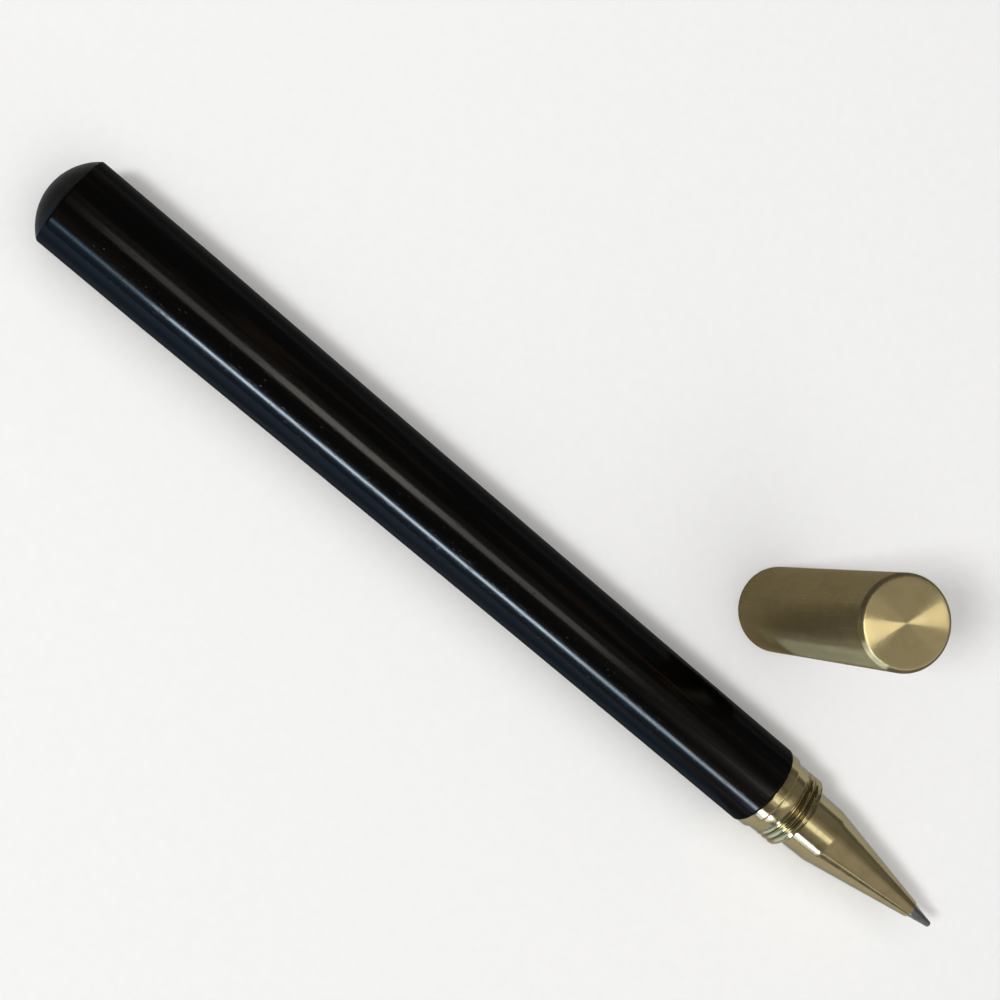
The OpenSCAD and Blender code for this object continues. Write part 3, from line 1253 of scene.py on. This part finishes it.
@dataclass(frozen=True)
class InnerPieces:
    """Finishes of the pieces inside the pen that keep their solids, each named for its node."""

    barrel_liner: TurnedBrass = TurnedBrass("drawn_brass_tube", gloss=0.25, spread=0.0)
    refill_tube: MouldedPlastic = MouldedPlastic(
        "refill_tube_plastic", (0.74, 0.75, 0.76), (0.66, 0.67, 0.69), gloss=0.3, light_through=0.2)
    ink_reservoir: InkFibre = InkFibre("ink_rod_fibre", (0.006, 0.008, 0.02), (0.02, 0.025, 0.06))
    feed_wick: InkFibre = InkFibre("wick_fibre", (0.01, 0.012, 0.03), (0.035, 0.04, 0.09))
    refill_plug: MouldedPlastic = MouldedPlastic("plug_plastic", (0.02, 0.02, 0.022), (0.03, 0.03, 0.032))
    tip_holder: MouldedPlastic = MouldedPlastic(
        "holder_plastic", (0.8, 0.8, 0.79), (0.72, 0.72, 0.71), gloss=0.3, light_through=0.15)

    def dress(self) -> None:
        """Puts each finish on its node."""
        for inner in fields(self):
            finish = getattr(self, inner.name)
            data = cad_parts[inner.name].data
            data.materials.clear()
            data.materials.append(finish.build())
            log.info("%s: dressed in %s", inner.name, finish.name)


@dataclass(frozen=True)
class Lamp:
    """A rectangular lamp.

    Attributes:
        name: Name of the lamp.
        place: Its middle, in metres.
        aim: Point that it faces.
        width: Its level side.
        height: Its other side.
        radiance: Brightness of its face, where 1 is white.
        tint: Colour of its light.
        target: Pieces that it falls on.
        reach: What it lights.
    """

    name: str
    place: Place
    aim: Place
    width: float
    height: float
    radiance: float
    tint: Colour
    target: Target = Target.PEN
    reach: Reach = Reach.GLOSS

    def light(self, groups: dict[Target, bpy.types.Collection]) -> None:
        """Makes the lamp.

        Args:
            groups: The pieces of each target.
        """
        data = bpy.data.lights.new(self.name, "AREA")
        data.shape = "RECTANGLE"
        data.size = self.width
        data.size_y = self.height
        data.energy = math.pi * self.width * self.height * self.radiance
        data.color = self.tint
        lamp = bpy.data.objects.new(self.name, data)
        lamp.location = self.place
        lamp.rotation_mode = "QUATERNION"
        facing = Vector(self.aim) - Vector(self.place)
        lamp.rotation_quaternion = facing.to_track_quat("-Z", "Y")
        lamp.visible_camera = False
        lamp.visible_diffuse = self.reach is Reach.SOFT
        lamp.visible_glossy = self.reach is Reach.GLOSS
        if self.target in groups:
            lamp.light_linking.receiver_collection = groups[self.target]
        bpy.context.scene.collection.objects.link(lamp)


@dataclass
class Studio:
    """Pale floor, soft lamps, a dim room and the camera."""

    eye: Place = (-86.002 * MM, -28.843 * MM, 216.077 * MM)
    target: Place = (-50.595 * MM, 6.017 * MM, 0.0)
    roll: float = math.radians(85.073)
    lens: float = 64.962
    nearest: float = 0.01
    floor_size: float = 12.0
    paper: StudioPaper = StudioPaper()
    ceiling: Colour = (0.165, 0.158, 0.143)
    ceiling_from: float = 0.6
    walls: Colour = (0.17, 0.172, 0.175)
    walls_from: float = 0.2
    horizon: Colour = (0.3, 0.3, 0.3)
    glow: Colour = (0.6, 0.59, 0.56)
    glow_from: Place = (0.8, -0.2, 0.57)
    glow_reach: Span = (0.74, 0.97)
    lamps: Sequence[Lamp] = (
        Lamp("key", (-0.581, -0.442, 1.133), (-0.045, 0.005, 0.0), 0.22, 0.22, 53.0,
             WHITE, Target.ALL, Reach.SOFT),
        Lamp("overhead_fill", (-0.04, 0.0, 4.0), (-0.04, 0.0, 0.0), 5.6, 5.6, 1.1,
             WHITE, Target.ALL, Reach.SOFT),
        Lamp("window_strip", (-0.03, -0.276, 0.117), (-0.03, 0.0, 0.0), 0.15, 0.034, 46.0, WINDOW_BLUE),
        Lamp("window_end", (0.095, -0.276, 0.117), (0.095, 0.0, 0.0), 0.1, 0.056, 14.0, WINDOW_BLUE),
        Lamp("window_core", (0.02, -0.275, 0.117), (0.02, 0.0, 0.0), 0.25, 0.018, 24.0, (0.86, 0.94, 1.0)),
        Lamp("window_rear", (-0.128, -0.276, 0.117), (-0.128, 0.0, 0.0), 0.046, 0.034, 8.0, WINDOW_BLUE),
        Lamp("window_tail", (0.24, -0.276, 0.11), (0.02, 0.0, 0.0), 0.2, 0.02, 1.4,
             (0.9, 0.96, 1.0), Target.ALL),
        Lamp("window_glow", (-0.03, -0.294, 0.09), (-0.03, 0.0, 0.0), 0.26, 0.15, 0.9, (0.2, 0.58, 1.0)),
        Lamp("window_halo", (-0.03, -0.293, 0.115), (-0.03, 0.0, 0.0), 0.26, 0.085, 1.3, (0.24, 0.6, 1.0)),
        Lamp("table_glow", (-0.09, -0.16, -0.0058), (-0.09, -0.16, 1.0), 0.18, 0.3, 1.5, (0.15, 0.5, 1.0)),
        Lamp("window_front", (0.13, -0.28, 0.088), (0.13, 0.0, 0.0), 0.036, 0.14, 4.5, (0.5, 0.62, 1.0)),
        Lamp("ceiling_rear", (-0.106, -0.053, 0.4), (-0.106, 0.0, 0.0), 0.072, 0.1, 3.2, CEILING_WARM),
        Lamp("ceiling_strip", (-0.034, -0.053, 0.4), (-0.034, 0.0, 0.0), 0.072, 0.1, 8.2, CEILING_WARM),
        Lamp("ceiling_end", (0.041, -0.053, 0.4), (0.041, 0.0, 0.0), 0.078, 0.1, 4.6, CEILING_WARM),
        Lamp("cap_strip", (-0.009, -0.0675, 0.432), (0.062, 0.0165, 0.032), 0.153, 0.1, 11.0,
             CEILING_WARM, Target.CAP),
        Lamp("cap_window", (0.078, -0.266, 0.0125), (-0.012, 0.02, 0.0125), 0.224, 0.035, 38.0,
             (0.69, 0.87, 1.0), Target.CAP),
        Lamp("cap_edge", (-0.03, -0.276, 0.117), (-0.012, 0.02, 0.032), 0.15, 0.02, 34.0,
             (0.8, 0.88, 1.0), Target.CAP),
        Lamp("ceiling_glow", (-0.01, 0.035, 0.41), (-0.01, 0.0, 0.0), 0.3, 0.17, 0.3,
             (1.0, 0.96, 0.82), Target.ALL),
        Lamp("nose_panel", (0.125, -0.05, 0.264), (0.007, 0.0, 0.0), 0.1, 0.05, 1.6, (0.92, 1.0, 1.0)),
        Lamp("nose_glow", (0.125, -0.045, 0.263), (0.007, 0.0, 0.0), 0.2, 0.06, 0.4, NOSE_WARM),
        Lamp("nose_halo", (0.125, -0.03, 0.262), (0.007, 0.0, 0.0), 0.32, 0.06, 0.25, NOSE_WARM),
        Lamp("nose_back", (0.21, 0.22, 0.2), (0.21, 0.0, 0.0), 0.2, 0.25, 0.13, (1.0, 0.98, 0.9)),
    )

    def build(self) -> None:
        """Builds the floor, the world, the lamps and the camera."""
        self.lay_floor()
        self.light_room()
        groups = self.group_pieces()
        for lamp in self.lamps:
            lamp.light(groups)
        self.place_camera()
        bpy.context.scene.view_settings.view_transform = "Standard"

    def group_pieces(self) -> dict[Target, bpy.types.Collection]:
        """Groups the pieces that show, the pen's apart from the cap.

        Returns:
            One collection for each target that has pieces of its own.
        """
        names = {
            Target.PEN: ("wooden_barrel", "brass_collar", "brass_nose", "steel_tip", "rolling_ball"),
            Target.CAP: ("brass_cap",),
        }
        groups = {target: bpy.data.collections.new(target.value) for target in names}
        for target, group in groups.items():
            for name in names[target]:
                group.objects.link(bpy.data.objects[name])
        return groups

    def lay_floor(self) -> None:
        """Lays the pale floor under the lowest point of the pen."""
        mesh = bmesh.new()
        bmesh.ops.create_grid(mesh, x_segments=1, y_segments=1, size=self.floor_size)
        bmesh.ops.translate(mesh, verts=mesh.verts, vec=(0.0, 0.0, CAD_BOX[0].z))
        data = bpy.data.meshes.new("floor")
        mesh.to_mesh(data)
        mesh.free()
        data.materials.append(self.paper.build())
        floor = bpy.data.objects.new("floor", data)
        bpy.context.scene.collection.objects.link(floor)

    def light_room(self) -> None:
        """Lights the room: even walls and ceiling, with a soft glow from the front."""
        world = bpy.data.worlds.new("room")
        world.use_nodes = True
        room = Graph(world.node_tree)
        view = room.node("TexCoord").outputs["Generated"]
        height = room.node("SeparateXYZ", Vector=view).outputs["Z"]
        ramp = room.node("ValToRGB", Fac=height)
        horizon, ceiling = ramp.color_ramp.elements
        horizon.color = rgba(self.horizon)
        ceiling.position = self.ceiling_from
        ceiling.color = rgba(self.ceiling)
        ramp.color_ramp.elements.new(self.walls_from).color = rgba(self.walls)
        side = room.node("VectorMath", {"operation": "DOT_PRODUCT"})
        room.feed(side.inputs[0], view)
        room.feed(side.inputs[1], Vector(self.glow_from).normalized())
        share = room.band(side.outputs["Value"], self.glow_reach)
        lit = room.blend(share, ramp.outputs["Color"], self.glow)
        room.feed(world.node_tree.nodes["Background"].inputs["Color"], lit)
        bpy.context.scene.world = world

    def place_camera(self) -> None:
        """Places the camera above the rear of the pen, looking down at it."""
        data = bpy.data.cameras.new("camera")
        data.lens = self.lens
        data.clip_start = self.nearest
        camera = bpy.data.objects.new("camera", data)
        camera.location = self.eye
        camera.rotation_mode = "QUATERNION"
        facing = (Vector(self.target) - Vector(self.eye)).to_track_quat("-Z", "Y")
        camera.rotation_quaternion = facing @ Quaternion((0.0, 0.0, 1.0), self.roll)
        bpy.context.scene.collection.objects.link(camera)
        bpy.context.scene.camera = camera


def main() -> None:
    """Builds the pen piece by piece, then the studio round it."""
    logging.basicConfig(level=logging.INFO, format="%(name)s: %(message)s")
    end_grain = PolishedEbony("ebony_end_grain", body_gloss=0.025, sheen=0.45, polish_edge=0.1)
    Barrel().build(PolishedEbony("polished_ebony"), end_grain)
    FrontEnd().build(TurnedBrass("turned_brass"))
    WritingPoint().build(GroundSteel("tip_steel"), GroundSteel("ball_carbide", (0.3, 0.3, 0.31)))
    RefillSpring().build(GroundSteel("spring_wire"))
    Cap().build({
        # Painted shade: the side's brass is a darker copy of the end's, with a dimmed edge tint, standing in
        # for the cap's own shadow and the dark surroundings that the side reflects.
        CapFace.SIDE: TurnedBrass(
            "cap_side_brass_painted_shade", (0.19, 0.156, 0.09), (0.158, 0.131, 0.072), lines=16.0,
            line_depth=0.0001 * MM, gloss=0.28, spread=1.0, wear=0.03, scuffs=0.22,
            edge=(0.66, 0.57, 0.42)),
        CapFace.END: TurnedBrass(
            "cap_end_brass", (0.77, 0.635, 0.35), (0.7, 0.58, 0.31), lines=14.0,
            line_depth=0.0003 * MM, gloss=0.25, spread=1.0, wear=0.015, edge=WHITE),
        CapFace.INSIDE: TurnedBrass("cap_inside_brass", gloss=0.3, spread=0.3),
    })
    InnerPieces().dress()
    Studio().build()


if __name__ == "__main__":
    main()
